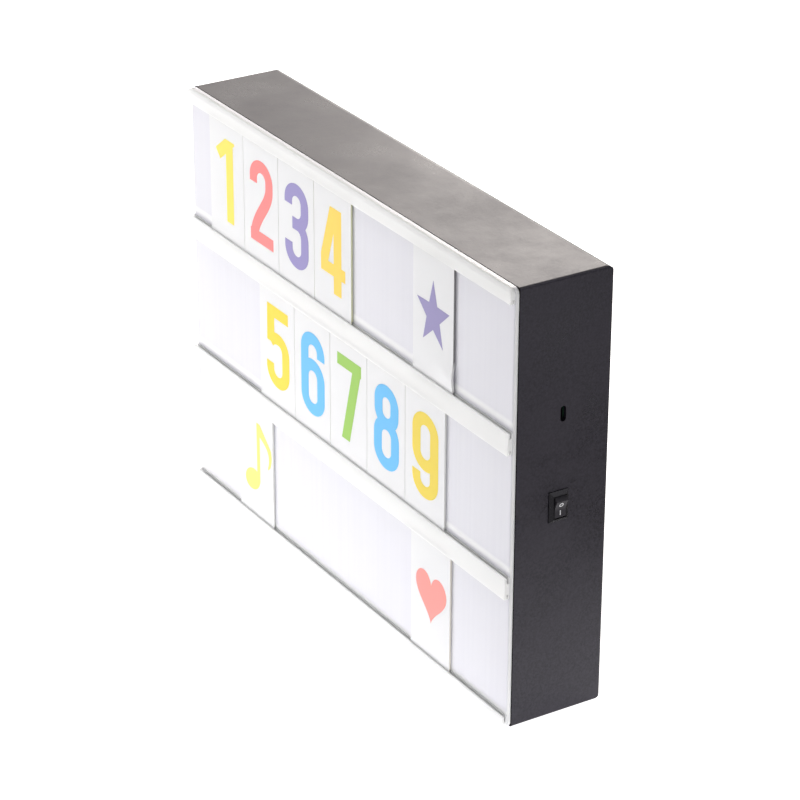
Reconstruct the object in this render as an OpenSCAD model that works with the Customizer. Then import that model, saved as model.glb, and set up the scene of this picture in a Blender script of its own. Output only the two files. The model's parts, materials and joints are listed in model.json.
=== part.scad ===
// Cinema light box: a shallow black back shell, an opal front panel with four card rails, sliding
// film cards, three lamp strips over a white reflector, a battery bay with a tip-out door, a USB
// power inlet and a rocker switch. Millimetres, +Z up, the front faces -Y. The origin is the centre
// of the base.

/* [Box] */
// Overall width of the shell and of the front panel
box_w = 296; // [294:1:300]
// Overall height, from the surface it stands on
box_h = 222.5; // [222.5:0.5:226]
// Depth of the back shell, from its front edge to its back
shell_d = 50.5; // [50.5:0.5:54]
// Wall thickness of the back shell
wall = 2.2; // [2:0.1:2.4]
// Radius of the long edges along the back
back_r = 4; // [3:0.5:5]
// Small radius of the edges round each end
side_r = 1.3; // [0.8:0.1:1.6]

/* [Front] */
// Thickness of the opal front panel
panel_t = 2; // [1.8:0.1:2.6]
// Radius of the panel's front edges at each end
panel_r = 1.2; // [0.8:0.1:1.5]
// Radius of the panel's four corners, seen from the front
corner_r = 3; // [2:0.25:4]

/* [Rails] */
// How far the rails stand in front of the panel
rail_d = 2.4; // [2.3:0.1:3]
// Thickness of a rail's lip
lip_t = 0.9; // [0.8:0.05:1]
// Thickness of the flange that a rail lies on the panel with
flange_t = 0.4; // [0.3:0.05:0.45]
// Height of a middle rail's lip
lip_h = 11.4; // [10.6:0.2:12.2]
// Height of a middle rail's web
web_t = 5.6; // [5.2:0.1:6]
// Height from one rail's web to the next, which a card fills
row_h = 67.6; // [67.4:0.1:67.8]
// Top of the bottom rail's floor
floor_h = 3.7; // [3.5:0.1:3.9]
// How much shorter the rails are than the panel, at each end
rail_gap = 0; // [0:0.1:1]

/* [Cards] */
// Card width
card_w = 34.2; // [33.8:0.1:34.4]
// Card thickness
card_t = 0.5; // [0.4:0.05:0.5]
// Play left above and below a card
card_play = 0.3; // [0.3:0.05:0.5]
// Gap between two cards that stand side by side
card_gap = 0.3; // [0.2:0.05:0.3]
// Left edge of the first card of the upper row
upper_x = -126.6; // [-127.6:0.2:-125.6]
// Left edge of the first card of the middle row
middle_x = -77.9; // [-78.9:0.2:-76.9]

/* [Switch] */
// Height of the switch's centre above the base
switch_z = 110; // [108:0.5:113]
// Distance of the switch's centre behind the shell's front edge
switch_y = 23.5; // [22.5:0.5:24]
// How far the rocker leans to its on side at rest, and to its off side
switch_tilt = 10; // [8:0.5:10]

/* [Power inlet] */
// Height of the inlet's centre above the base
inlet_z = 155.8; // [154.8:0.2:158]
// Distance of the inlet's centre behind the shell's front edge
inlet_y = 25; // [24.5:0.25:26]

/* [Battery bay] */
// Diameter of one cell
cell_d = 14.2; // [13.8:0.1:14.4]
// Length of one cell, with its button
cell_l = 50.5; // [49.5:0.1:50.5]

/* [Hidden] */
$fn = 64;
front_y = -panel_t;                      // outer face of the panel
rail_y = front_y - rail_d;               // outer face of the rails
mid_y = (rail_y + shell_d) / 2;          // middle of the whole depth
hw = box_w / 2;
back_in = shell_d - wall;                // inner face of the back
web_1 = floor_h + row_h;                 // underside of the lower middle web
web_2 = web_1 + web_t + row_h;           // underside of the upper middle web
web_3 = web_2 + web_t + row_h;           // underside of the top rail's web
card_h = row_h - 2 * card_play;
card_y = (rail_y + lip_t + front_y - flange_t) / 2; // middle plane of the cards
row_z = [web_2 + web_t + card_play, web_1 + web_t + card_play, floor_h + card_play];
pitch = card_w + card_gap;
peg_x = [-132, -44, 44, 132];
peg_r = 1;
post_x = hw - 10;
post_z = [12, box_h - 12];
board_z = [box_h - 38.5, 111, 38];
stand_x = 106;
refl_y = 20;                             // front face of the reflector's floor
refl_t = 0.8;
bay_x = 60.2;                            // half width of the battery holder
bay_z = [14.9, 63.1];
cell_z = [23.8, 39, 54.2];
cell_y = 40.8;
piv = [hw - 1.4, switch_y, switch_z];    // rocker axis
hub = [hw - 9.1, switch_y, switch_z];    // contact blade axis
hinge_y = shell_d;                       // battery door axis
hinge_z = 12.5;

// ---- plain helpers -------------------------------------------------------------------------
module ycyl(x, z, y0, y1, r) translate([x, y0, z]) rotate([-90, 0, 0]) cylinder(r = r, h = y1 - y0);
module xcyl(y, z, x0, x1, r) translate([x0, y, z]) rotate([0, 90, 0]) cylinder(r = r, h = x1 - x0);
module yprism(y0, y1) translate([0, y1, 0]) rotate([90, 0, 0]) linear_extrude(height = y1 - y0) children();
module xprism(x0, x1) translate([x0, 0, 0]) rotate([90, 0, 90]) linear_extrude(height = x1 - x0) children();
module zprism(z0, z1) translate([0, 0, z0]) linear_extrude(height = z1 - z0) children();
module block(x0, y0, z0, x1, y1, z1) translate([x0, y0, z0]) cube([x1 - x0, y1 - y0, z1 - z0]);
module rrect(x0, y0, x1, y1, r) {
  translate([x0 + r, y0]) square([x1 - x0 - 2 * r, y1 - y0]);
  translate([x0, y0 + r]) square([x1 - x0, y1 - y0 - 2 * r]);
  for (x = [x0 + r, x1 - r], y = [y0 + r, y1 - r]) translate([x, y]) circle(r);
}
// rectangle whose far corners in the first direction are round
module far_round(x0, y0, x1, y1, r) {
  translate([x0, y0]) square([x1 - x0 - r, y1 - y0]);
  translate([x0, y0 + r]) square([x1 - x0, y1 - y0 - 2 * r]);
  for (y = [y0 + r, y1 - r]) translate([x1 - r, y]) circle(r);
}
// everything stands in the part's own frame, centred on its depth
module seat() translate([0, -mid_y, 0]) children();
// round wire along points: rings of n points, carried along the path
function unit(v) = v / norm(v);
function tang(p, i) = unit(i == 0 ? p[1] - p[0] : i == len(p) - 1 ? p[i] - p[i - 1]
  : unit(p[i + 1] - p[i]) + unit(p[i] - p[i - 1]));
function side(t, u) = unit(u - (u * t) * t);
function sides(p, i = 0, u = [0.13, 0.37, 0.92], acc = []) = i == len(p) ? acc :
  let (s = side(tang(p, i), u)) sides(p, i + 1, s, concat(acc, [s]));
module wire(p, r, n = 8) {
  s = sides(p);
  pts = [for (i = [0:len(p) - 1]) let (t = tang(p, i), b = cross(t, s[i]))
    for (k = [0:n - 1]) p[i] + r * (cos(360 * k / n) * s[i] + sin(360 * k / n) * b)];
  m = len(p);
  faces = concat([[for (k = [0:n - 1]) k]], [[for (k = [n - 1:-1:0]) (m - 1) * n + k]],
    [for (i = [0:m - 2], k = [0:n - 1]) [i * n + k, (i + 1) * n + k, (i + 1) * n + (k + 1) % n, i * n + (k + 1) % n]]);
  polyhedron(points = pts, faces = [for (f = faces) [for (j = [len(f) - 1:-1:0]) f[j]]], convexity = 6);
}
// smooth route through hand-picked points (Catmull-Rom, k steps a stretch)
function cr(a, b, c, d, t) = 0.5 * ((2 * b) + (c - a) * t + (2 * a - 5 * b + 4 * c - d) * t * t
  + (3 * b - a - 3 * c + d) * t * t * t);
function smooth(p, k = 4) = concat([for (i = [0:len(p) - 2], j = [0:k - 1])
  cr(p[max(i - 1, 0)], p[i], p[i + 1], p[min(i + 2, len(p) - 1)], j / k)], [p[len(p) - 1]]);
module cross_recess(x, z, y0, y1, w, t) {
  block(x - w / 2, y0, z - t / 2, x + w / 2, y1, z + t / 2);
  block(x - t / 2, y0, z - w / 2, x + t / 2, y1, z + w / 2);
}

// ---- back shell ----------------------------------------------------------------------------
module shell_body() {
  difference() {
    intersection() {
      xprism(-hw, hw) far_round(0, 0, shell_d, box_h, back_r);
      yprism(0, shell_d) rrect(-hw, 0, hw, box_h, side_r);
      zprism(0, box_h) rotate(90) mirror([0, 1]) far_round(0, -hw, shell_d, hw, side_r);
      // the front edge is eased all round, so a fine dark seam shows beside the panel
      xprism(-hw, hw) polygon([[0.5, 0], [shell_d, 0], [shell_d, box_h], [0.5, box_h], [0, box_h - 0.5], [0, 0.5]]);
      zprism(0, box_h) polygon([[-hw + 0.5, 0], [hw - 0.5, 0], [hw, 0.5], [hw, shell_d], [-hw, shell_d], [-hw, 0.5]]);
    }
    xprism(-hw + wall, hw - wall) far_round(-1, wall, back_in, box_h - wall, back_r - wall);
  }
}
module keyhole(x, z) {
  ycyl(x, z, back_in - 1, shell_d + 1, 4);
  block(x - 2, back_in - 1, z, x + 2, shell_d + 1, z + 8);
  ycyl(x, z + 8, back_in - 1, shell_d + 1, 2);
}
module rear_shell() color("#1b1b1d") seat() {
  difference() {
    union() {
      shell_body();
      // four long posts that the shell screws pass down
      for (x = [-post_x, post_x], z = post_z) ycyl(x, z, 14.3, back_in + 0.5, 5);
      // six stand-offs that carry the reflector and the lamp strips
      for (x = [-stand_x, stand_x], z = board_z) ycyl(x, z, refl_y + refl_t, back_in + 0.5, 4);
      // two posts for the inlet's board, two for the battery holder
      for (z = [inlet_z - 11, inlet_z + 11]) ycyl(122, z, inlet_y + 3, back_in + 0.5, 2.8);
      for (x = [-66, 66]) ycyl(x, 39, 40.5, back_in + 0.5, 3.2);
      // collar round the battery opening, inside the back
      difference() {
        block(-bay_x - 2, 42, bay_z[0] - 2, bay_x + 2, back_in + 0.5, bay_z[1] + 2);
        block(-bay_x - 0.3, 41, bay_z[0] - 0.3, bay_x + 0.3, back_in + 1, bay_z[1] + 0.3);
      }
    }
    // battery opening, and the step that the door sits in
    block(-bay_x - 0.3, 41, bay_z[0] - 0.3, bay_x + 0.3, shell_d + 1, bay_z[1] + 0.3);
    block(-63, shell_d - 1.6, 12.2, 63, shell_d + 1, 65.8);
    // ways for the door's two hinge tabs
    for (x = [-40, 40]) {
      block(x - 6.5, 41, 10.3, x + 6.5, back_in, 15);
      block(x - 6.5, 41, 12.2, x + 6.5, shell_d + 1, 15);
    }
    // thumb notch over the door
    intersection() {
      ycyl(0, 68, shell_d - 1, shell_d + 1, 10);
      block(-10, shell_d - 2, 65, 10, shell_d + 2, 80);
    }
    // recessed screw holes
    for (x = [-post_x, post_x], z = post_z) {
      ycyl(x, z, 24, shell_d + 1, 3.4);
      ycyl(x, z, 13, 25, 1.75);
    }
    for (x = [-stand_x, stand_x], z = board_z) ycyl(x, z, 19, 32, 1.35);
    for (z = [inlet_z - 11, inlet_z + 11]) ycyl(122, z, inlet_y + 2, inlet_y + 14, 1.1);
    for (x = [-66, 66]) ycyl(x, 39, 39, 47, 1.1);
    // keyholes for hanging on a wall
    for (x = [-100, 100]) keyhole(x, 186 + box_h - 222.5);
    // end wall: power inlet slot and switch opening
    xprism(hw - wall - 1, hw + 1) {
      translate([inlet_y, inlet_z - 2.4]) circle(1.5);
      translate([inlet_y, inlet_z + 2.4]) circle(1.5);
      translate([inlet_y - 1.5, inlet_z - 2.4]) square([3, 4.8]);
    }
    block(hw - wall - 1, switch_y - 4.45, switch_z - 6.85, hw + 1, switch_y + 4.45, switch_z + 6.85);
  }
}
module shell_screws() color("#b9bcc0") seat()
  for (x = [-post_x, post_x], z = post_z) difference() {
    union() {
      ycyl(x, z, 24, 26.2, 3);
      ycyl(x, z, 5, 24.1, 1.45);
    }
    cross_recess(x, z, 25.2, 27, 3.4, 0.8);
  }

// ---- front panel and rails -----------------------------------------------------------------
module front_panel() color("#e9e6f4") seat() {
  difference() {
    union() {
      intersection() {
        zprism(0, box_h) rotate(-90) mirror([0, 1]) far_round(0, -hw, panel_t, hw, panel_r);
        yprism(-panel_t, 0) rrect(-hw, 0, hw, box_h, corner_r);
      }
      // spigot that goes inside the shell
      difference() {
        block(-hw + wall + 0.3, -0.5, wall + 0.3, hw - wall - 0.3, 5, box_h - wall - 0.3);
        block(-hw + wall + 1.8, -1, wall + 1.8, hw - wall - 1.8, 6, box_h - wall - 1.8);
      }
      // bosses for the four shell screws
      for (x = [-post_x, post_x], z = post_z) ycyl(x, z, -1, 14, 4);
    }
    for (x = [-post_x, post_x], z = post_z) ycyl(x, z, 4, 15, 1.5);
    // holes for the rails' pegs
    for (x = peg_x, z = [floor_h / 2, web_1 + web_t / 2, web_2 + web_t / 2, (web_3 + box_h) / 2])
      ycyl(x, z, -panel_t - 1, -panel_t + 1.35, peg_r + 0.05);
  }
}
module pegs(z) for (x = peg_x) ycyl(x, z, front_y - 0.2, front_y + 1.2, peg_r);
// outline with one radius at its lower corners and another at its upper ones
module outline(x0, z0, x1, z1, rb, rt) {
  translate([x0, z0 + rb]) square([x1 - x0, z1 - z0 - rb - rt]);
  translate([x0 + rb, z0]) square([x1 - x0 - 2 * rb, rb + 0.1]);
  translate([x0 + rt, z1 - rt - 0.1]) square([x1 - x0 - 2 * rt, rt + 0.1]);
  for (x = [x0 + rb, x1 - rb]) translate([x, z0 + rb]) circle(rb);
  for (x = [x0 + rt, x1 - rt]) translate([x, z1 - rt]) circle(rt);
}
// what every rail is cut to: its outline from the front, and its plan with eased front corners
module rail_cut(z0, z1, rb, rt) intersection() {
  yprism(rail_y - 1, front_y) outline(-hw + rail_gap, z0, hw - rail_gap, z1, rb, rt);
  zprism(z0 - 1, z1 + 1) rotate(-90) mirror([0, 1]) far_round(-front_y - 1, -hw + rail_gap, -rail_y, hw - rail_gap, 0.6);
}
// a lip in the (y, z) plane; its front edges are round
module lip_profile(z0, z1) {
  r = 0.4;
  translate([rail_y + r, z0]) square([lip_t - r, z1 - z0]);
  translate([rail_y, z0 + r]) square([lip_t, z1 - z0 - 2 * r]);
  for (z = [z0 + r, z1 - r]) translate([rail_y + r, z]) circle(r);
}
module flange_profile(z0, z1) translate([front_y - flange_t, z0]) square([flange_t, z1 - z0]);
module middle_rail(z) {
  c = z + web_t / 2;
  h = lip_h / 2;
  intersection() {
    xprism(-hw, hw) {
      lip_profile(c - h, c + h);
      flange_profile(c - h - 0.3, c + h + 0.3);
      translate([rail_y + 0.6, z]) square([rail_d - 0.6, web_t]);
    }
    rail_cut(c - h - 0.3, c + h + 0.3, 2.2, 0.8);
  }
  pegs(c);
}
module rail_upper() color("#f3efe4") seat() middle_rail(web_2);
module rail_lower() color("#f3efe4") seat() middle_rail(web_1);
module rail_top() color("#f3efe4") seat() {
  z0 = web_3 - 2.5;
  r = 2.2;
  intersection() {
    xprism(-hw, hw) {
      translate([rail_y, z0 + 0.4]) square([lip_t, box_h - r - z0 - 0.4]);
      translate([rail_y + 0.4, z0]) square([lip_t - 0.4, 2]);
      translate([rail_y + 0.4, z0 + 0.4]) circle(0.4);
      flange_profile(z0 - 0.3, web_3 + 0.5);
      translate([rail_y + 0.6, web_3]) square([rail_d - 0.6, box_h - r - web_3]);
      translate([rail_y + r, web_3]) square([rail_d - r, box_h - web_3]);
      translate([rail_y + r, box_h - r]) circle(r);
    }
    rail_cut(z0 - 0.3, box_h, 1.6, corner_r);
  }
  pegs((web_3 + box_h) / 2);
}
module rail_bottom() color("#f3efe4") seat() {
  z1 = floor_h + 3.1;
  r = 1.2;
  intersection() {
    xprism(-hw, hw) {
      translate([rail_y + r, 0]) square([rail_d - r, floor_h]);
      translate([rail_y + 0.6, r]) square([rail_d - 0.6, floor_h - r]);
      translate([rail_y, r]) square([lip_t, z1 - r - 0.4]);
      translate([rail_y + 0.4, z1 - 1]) square([lip_t - 0.4, 1]);
      translate([rail_y + 0.4, z1 - 0.4]) circle(0.4);
      translate([rail_y + r, r]) circle(r);
      flange_profile(floor_h - 0.5, z1 + 0.3);
    }
    rail_cut(0, z1 + 0.3, corner_r, 0.8);
  }
  pegs(floor_h / 2);
}

// ---- cards ---------------------------------------------------------------------------------
module card(x, row) color("#f4f4f2") seat()
  yprism(card_y - card_t / 2, card_y + card_t / 2) rrect(x, row_z[row], x + card_w, row_z[row] + card_h, 1.5);
star_x = 66.5;
note_x = -101.7;
heart_x = 65.9;

// ---- lamps ---------------------------------------------------------------------------------
module tray_solid(k) intersection() {
  zprism(0, box_h) polygon([[-hw + 4 + k, 2], [hw - 4 - k, 2], [hw - 22 - k, refl_y + refl_t - k], [-hw + 22 + k, refl_y + refl_t - k]]);
  xprism(-hw, hw) polygon([[2, 4 + k], [refl_y + refl_t - k, 22 + k], [refl_y + refl_t - k, box_h - 22 - k], [2, box_h - 4 - k]]);
}
module reflector() color("#fbfbf8") seat() difference() {
  tray_solid(0);
  translate([0, -0.01, 0]) tray_solid(refl_t);
  for (x = [-post_x, post_x], z = post_z) ycyl(x, z, 0, 30, 5.6);
  for (x = [-stand_x, stand_x], z = board_z) ycyl(x, z, 18, 24, 1.7);
  ycyl(84, 124, 18, 24, 2.6);
}
module led_board(z) difference() {
  block(-118, refl_y - 1, z - 5, 118, refl_y - 0.01, z + 5);
  for (x = [-stand_x, stand_x]) ycyl(x, z, refl_y - 2, refl_y + 1, 1.6);
}
module led_board_top() color("#e8ebe6") seat() led_board(board_z[0]);
module led_board_middle() color("#e8ebe6") seat() led_board(board_z[1]);
module led_board_bottom() color("#e8ebe6") seat() led_board(board_z[2]);
module led_chips() color("#ffe9a8") seat()
  for (z = board_z, i = [-4:4]) translate([i * 23.5, 0, 0]) difference() {
    block(-1.75, refl_y - 1.85, z - 1.4, 1.75, refl_y - 1.05, z + 1.4);
    ycyl(0, z, refl_y - 2, refl_y - 1.65, 1.05);
  }
module led_resistors() color("#22242a") seat()
  for (z = board_z, i = [-3:2]) block(i * 23.5 + 10.6, refl_y - 1.55, z - 0.8, i * 23.5 + 13, refl_y - 1.05, z + 0.8);
module led_board_screws() color("#b9bcc0") seat()
  for (x = [-stand_x, stand_x], z = board_z) difference() {
    union() {
      ycyl(x, z, refl_y - 2.8, refl_y - 1.02, 2.8);
      ycyl(x, z, refl_y - 1.1, 30, 1.25);
    }
    cross_recess(x, z, refl_y - 4, refl_y - 1.9, 3, 0.7);
  }
// pairs of short wires that join one strip to the next
link_a = [[0, 0, 0], [1, -1.2, 3], [2, -1.6, 12], [2.6, -1.5, 32], [2, -1.6, 54], [1, -1.2, 61], [0, 0, 64]];
module led_link_wires() color("#c3322b") seat() for (x = [109.5, 113], s = [0, 1])
  wire(smooth([for (p = link_a) [x + p[0], refl_y - 1.75 + p[1] * 0.5, (s == 0 ? board_z[2] + 4.4 : board_z[1] + 4.4) + p[2] * ((s == 0 ? board_z[1] - board_z[2] : board_z[0] - board_z[1]) - 8.8) / 64]], 2), 0.6);

// ---- battery bay ---------------------------------------------------------------------------
module battery_holder() color("#232326") seat() difference() {
  union() {
    block(-bay_x, 31.6, bay_z[0], bay_x, 46.7, bay_z[1]);
    for (s = [-1, 1]) hull() {
      ycyl(s * 66, 39, 38.2, 40.4, 3.6);
      block(s * bay_x - 1, 38.2, 34, s * bay_x + 1, 40.4, 44);
    }
  }
  for (x = [-58.6, 1.5]) block(x, 33.4, 16.3, x + 57.1, 60, 61.7);
  for (x = [-66, 66]) ycyl(x, 39, 37, 42, 1.4);
  // ways for the door's tabs, and for the ribbon side of the contacts
  for (x = [-40, 40]) block(x - 7, 43.5, 14, x + 7, 60, 17);
}
module holder_screws() color("#b9bcc0") seat() for (x = [-66, 66]) difference() {
  union() {
    ycyl(x, 39, 36.6, 38.18, 2.4);
    ycyl(x, 39, 38.1, 46, 1.05);
  }
  cross_recess(x, 39, 35, 37.4, 2.6, 0.6);
}
function col_x(c) = c == 0 ? -58.6 : 1.5;             // inner left end of a column
function flip(c, r) = (c + r) % 2 == 0;               // true: button to the right
module battery_contacts() color("#cfd2d4") seat() for (c = [0, 1]) {
  for (x = [col_x(c) + 0.02, col_x(c) + 57.1 - 0.42]) for (z = cell_z)
    block(x, 35, z - 5.6, x + 0.4, 46.6, z + 5.6);
}
module aa_cell(x, z, right) translate([x, cell_y, z]) rotate([0, right ? 90 : -90, 0]) {
  cylinder(r = cell_d / 2, h = cell_l - 1.6);
  translate([0, 0, cell_l - 1.7]) cylinder(r = 4.6, h = 0.6);
  translate([0, 0, cell_l - 1.5]) cylinder(r = 2.75, h = 1.5);
}
module aa_cells() color("#3a3f46") seat() for (c = [0, 1], r = [0:2])
  if (flip(c, r)) aa_cell(col_x(c) + 57.1 - 0.47 - cell_l, cell_z[r], true);
  else aa_cell(col_x(c) + 0.47 + cell_l, cell_z[r], false);
module coil(x, z, right, l) translate([x, cell_y, z]) rotate([0, right ? 90 : -90, 0])
  wire([for (i = [0:28]) let (a = i * 36, t = i / 28) [(4.6 - 2.1 * t) * cos(a), (4.6 - 2.1 * t) * sin(a), 0.35 + (l - 0.7) * t]], 0.3, 6);
module battery_springs() color("#d8dadc") seat() for (c = [0, 1], r = [0:2]) {
  l = 57.1 - 0.47 - cell_l - 0.47;
  if (flip(c, r)) coil(col_x(c) + 0.47, cell_z[r], true, l);
  else coil(col_x(c) + 57.1 - 0.47, cell_z[r], false, l);
}
module battery_door() color("#1b1b1d") seat() difference() {
  union() {
    block(-62.7, shell_d - 1.5, 12.5, 62.7, shell_d, 65.5);
    // ribs that keep the cells down
    for (x = [-30, 30]) block(x - 0.8, shell_d - 2.2, 18, x + 0.8, shell_d - 1.4, 60);
    // hinge tabs under the shell's edge
    for (x = [-40, 40]) {
      block(x - 5, 46.9, 12.7, x + 5, shell_d - 1.4, 14);
      block(x - 5, 46.9, 11, x + 5, 48.1, 13);
    }
    // latch finger
    block(-7, 47, 60.5, 7, shell_d - 1.4, 62.2);
  }
  // grip grooves under the thumb notch
  for (i = [0:4]) block(-9, shell_d - 0.5, 57 + i * 1.6, 9, shell_d + 1, 57.8 + i * 1.6);
  // cut each side of the latch, so that it can bend
  for (x = [-10.4, 9.6]) block(x, shell_d - 3, 53, x + 0.8, shell_d + 1, 66);
}

// ---- power inlet ---------------------------------------------------------------------------
brd_y = inlet_y + 1.4;
module usb_socket() color("#c9ccd0") seat() difference() {
  block(139.9, inlet_y - 1.4, inlet_z - 3.75, hw - wall - 0.2, inlet_y + 1.38, inlet_z + 3.75);
  block(140.5, inlet_y - 1.0, inlet_z - 3.35, hw, inlet_y + 1.0, inlet_z + 3.35);
}
module usb_board() color("#1f6b3a") seat() difference() {
  block(118, brd_y, inlet_z - 15, hw - wall - 0.3, brd_y + 1.6, inlet_z + 15);
  for (z = [inlet_z - 11, inlet_z + 11]) ycyl(122, z, brd_y - 1, brd_y + 3, 1.4);
}
module usb_board_parts() color("#2a2c30") seat() {
  block(141, inlet_y - 0.35, inlet_z - 2.9, hw - wall - 1.2, inlet_y + 0.35, inlet_z + 2.9);
  block(128, brd_y - 1.6, inlet_z - 2, 132, brd_y - 0.02, inlet_z + 2);
  for (z = [-8, -5, 5, 8]) block(130, brd_y - 0.7, inlet_z + z - 0.6, 132.4, brd_y - 0.02, inlet_z + z + 0.6);
  block(119, brd_y - 4.2, inlet_z - 4, 123.5, brd_y - 0.02, inlet_z + 4);
}
module usb_board_screws() color("#b9bcc0") seat() for (z = [inlet_z - 11, inlet_z + 11]) difference() {
  union() {
    ycyl(122, z, brd_y - 1.7, brd_y - 0.02, 2.3);
    ycyl(122, z, brd_y - 0.1, inlet_y + 12, 1.05);
  }
  cross_recess(122, z, brd_y - 3, brd_y - 0.9, 2.6, 0.6);
}

// ---- internal wires ------------------------------------------------------------------------
pos_route = [[60.4, 36, 55], [65, 36, 56], [76, 34, 66], [90, 31, 80], [106, 28, 93], [117, 25.5, 104], [123, switch_y + 0.1, switch_z - 0.2], [127.9, switch_y, switch_z]];
neg_route = [[60.4, 36, 23], [66, 36.5, 24], [77, 38, 34], [86, 38, 58], [92, 38, 82], [98, 38, 108], [108, 39, 124], [120, 39, 133], [126, 37, 141], [127, 32, inlet_z - 7], [127, brd_y + 2.4, inlet_z - 4]];
swi_route = [[127.9, switch_y, switch_z + 4], [123, 24, switch_z + 5.8], [119, 27.5, 123], [122, 30, 131], [131, 30.6, 138], [134, 31, inlet_z - 8], [133, brd_y + 3.5, inlet_z - 3], [132.5, brd_y + 2.4, inlet_z - 1]];
led_route = [[118.5, brd_y - 2.9, inlet_z - 2], [113, 24.2, inlet_z - 4], [102, 25, 146], [90, 25, 134], [85, 23.4, 127], [84, 20.4, 124], [83.8, 18, 121.5], [83.2, 17.4, 118], [83.2, 18.1, 114.6]];
module wire_positive() color("#b5201d") seat() wire(smooth(pos_route, 3), 0.7);
module wire_negative() color("#17181b") seat() wire(smooth(neg_route, 3), 0.7);
module wire_switched() color("#b5201d") seat() wire(smooth(swi_route, 3), 0.7);
module led_lead() color("#e6e6e2") seat() wire(smooth(led_route, 3), 0.8);

// ---- rocker switch -------------------------------------------------------------------------
module switch_housing() color("#141416") seat() difference() {
  union() {
    // bezel: a frame that slopes up to the rocker from all four sides
    intersection() {
      zprism(switch_z - 7.7, switch_z + 7.7) polygon([[hw, switch_y - 5.25], [hw + 0.4, switch_y - 5.25],
        [hw + 1.8, switch_y - 3.6], [hw + 1.8, switch_y + 3.6], [hw + 0.4, switch_y + 5.25], [hw, switch_y + 5.25]]);
      yprism(switch_y - 5.25, switch_y + 5.25) polygon([[hw, switch_z - 7.7], [hw + 0.4, switch_z - 7.7],
        [hw + 1.8, switch_z - 6], [hw + 1.8, switch_z + 6], [hw + 0.4, switch_z + 7.7], [hw, switch_z + 7.7]]);
    }
    block(hw - 13.5, switch_y - 4.3, switch_z - 6.7, hw + 0.5, switch_y + 4.3, switch_z + 6.7);
    // snap wedges behind the shell's wall
    for (s = [-1, 1]) yprism(switch_y - 2, switch_y + 2) polygon([[hw - wall - 0.15, switch_z + s * 6.6],
      [hw - wall - 0.15, switch_z + s * 7.6], [hw - wall - 3.5, switch_z + s * 6.6]]);
  }
  block(hw - 10.5, switch_y - 3.35, switch_z - 6.4, hw + 0.2, switch_y + 3.35, switch_z + 6.4);
  block(hw - 1, switch_y - 3.35, switch_z - 5.75, hw + 3, switch_y + 3.35, switch_z + 5.75);
  ycyl(piv[0], switch_z, switch_y - 3.35, switch_y + 3.35, 6.42);
  // rocker pin bore
  translate([piv[0], switch_y - 6, switch_z]) rotate([-90, 0, 0]) cylinder(r = 0.95, h = 12);
  // slots for the terminals
  for (z = [0, 4]) block(hw - 14, switch_y - 1.65, switch_z + z - 0.45, hw - 10, switch_y + 1.65, switch_z + z + 0.45);
}
module tilted(a) translate(piv) rotate([0, a, 0]) children();
// rocker face: two flats that meet in a round valley
function rocker_x(z) = abs(z) < 1.495 ? 11.05 - sqrt(56.25 - z * z) : 3.7 + (abs(z) - 1.495) * 0.2035;
module switch_rocker() color("#1a1a1c") seat() tilted(switch_tilt) difference() {
  union() {
    yprism(-3.05, 3.05) intersection() {
      polygon(concat([[-4.6, -6.3]], [for (z = [-6.3, -1.495, -1.1, -0.7, -0.3, 0.3, 0.7, 1.1, 1.495, 6.3]) [rocker_x(z), z]], [[-4.6, 6.3]]));
      circle(6.1);
    }
    ycyl(0, 0, -4.1, 4.1, 0.9);
  }
  translate([-4.8, 0, 0]) rotate([0, 90, 0]) cylinder(r = 1.5, h = 4.6);
}
module switch_plunger() color("#e9e4d2") seat() tilted(switch_tilt) {
  translate([-5.8, 0, 0]) rotate([0, 90, 0]) cylinder(r = 1.2, h = 3.4);
  translate([-5.8, 0, 0]) sphere(r = 1.2);
}
module switch_spring() color("#c9ccd0") seat() tilted(switch_tilt)
  wire([for (i = [0:30]) [-0.55 - 1.6 * i / 30, 0.95 * cos(36 * i), 0.95 * sin(36 * i)]], 0.16, 6);
module switch_contact() color("#c98f4a") seat() translate(hub) rotate([0, -8, 0])
  block(0, -1.5, -4.6, 0.4, 1.5, 4.6);
module switch_terminals() color("#d9c27a") seat() {
  block(hw - 20, switch_y - 1.6, switch_z - 0.4, hub[0] - 0.12, switch_y + 1.6, switch_z + 0.4);
  block(hw - 20, switch_y - 1.6, switch_z + 3.6, hub[0] - 0.75, switch_y + 1.6, switch_z + 4.4);
}

rear_shell();
front_panel();
rail_top();
rail_upper();
rail_lower();
rail_bottom();
reflector();
led_board_top();
led_board_middle();
led_board_bottom();
led_chips();
led_resistors();
led_board_screws();
led_link_wires();
shell_screws();
battery_holder();
holder_screws();
battery_contacts();
battery_springs();
aa_cells();
battery_door();
usb_socket();
usb_board();
usb_board_parts();
usb_board_screws();
wire_positive();
wire_negative();
wire_switched();
led_lead();
switch_housing();
switch_rocker();
switch_plunger();
switch_spring();
switch_contact();
switch_terminals();
card(upper_x, 0);  // card_1
card(upper_x + pitch, 0);  // card_2
card(upper_x + 2 * pitch, 0);  // card_3
card(upper_x + 3 * pitch, 0);  // card_4
card(star_x, 0);  // card_star
card(middle_x, 1);  // card_5
card(middle_x + pitch, 1);  // card_6
card(middle_x + 2 * pitch, 1);  // card_7
card(middle_x + 3 * pitch, 1);  // card_8
card(middle_x + 4 * pitch, 1);  // card_9
card(note_x, 2);  // card_note
card(heart_x, 2);  // card_heart
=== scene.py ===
import json
import math

import bmesh
import bpy
import numpy as np
from mathutils import Matrix, Vector
from mathutils.geometry import tessellate_polygon


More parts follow.
